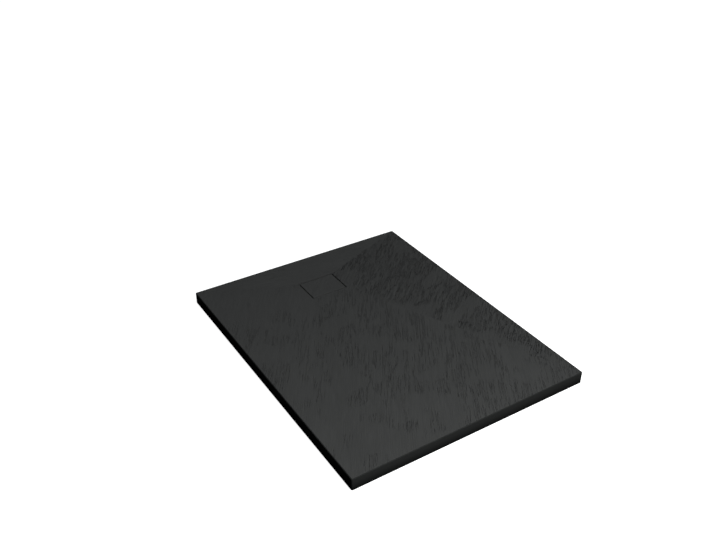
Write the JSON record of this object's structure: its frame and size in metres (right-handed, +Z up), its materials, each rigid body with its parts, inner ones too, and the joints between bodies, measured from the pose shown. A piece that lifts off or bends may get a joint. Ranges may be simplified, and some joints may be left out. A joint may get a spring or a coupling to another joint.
{
  "type": "shower tray",
  "caption": "Flat rectangular slate-effect shower tray with four falls to a flush lift-off drain cover, strainer and lift-out odour trap in a low waste.",
  "frame": {"origin": "middle of the tray's flat underside, on the face that is bedded on the floor", "axes": "+X along the long side from the drain end to the far end, +Y across to one long side, +Z up"},
  "size_m": [1, 0.8, 0.123],
  "materials": {
    "slate_composite": "matt cast slate relief",
    "grey_silicone": "matt",
    "pressed_steel": "brushed",
    "strainer_steel": "brushed",
    "screw_steel": "satin",
    "black_rubber": "matt",
    "moulded_grey": "moulded",
    "moulded_white": "moulded",
    "insert_brass": "machined"
  },
  "bodies": {
    "tray": {"tray_body": "slate_composite", "waste_flange": "pressed_steel", "lip_gasket": "black_rubber", "flange_screws": "screw_steel", "rim_gasket": "black_rubber", "trap_body": "moulded_grey", "threaded_inserts": "insert_brass", "cone_washer": "black_rubber", "slip_ring": "moulded_white", "union_nut": "moulded_grey"},
    "odour_trap": {"dip_tube": "moulded_white", "seal_ring": "black_rubber"},
    "strainer": {"hair_strainer": "strainer_steel"},
    "cover": {"drain_cover": "slate_composite", "cover_pads": "grey_silicone"}
  },
  "joints": [
    {"name": "dip_tube_lift", "type": "slide", "parent": "tray", "child": "odour_trap", "axis": [0, 0, 1], "range_m": [0, 0.12]},
    {"name": "strainer_lift", "type": "slide", "parent": "odour_trap", "child": "strainer", "axis": [0, 0, 1], "range_m": [0, 0.04]},
    {"name": "cover_lift", "type": "slide", "parent": "strainer", "child": "cover", "axis": [0, 0, 1], "range_m": [0, 0.04]}
  ]
}
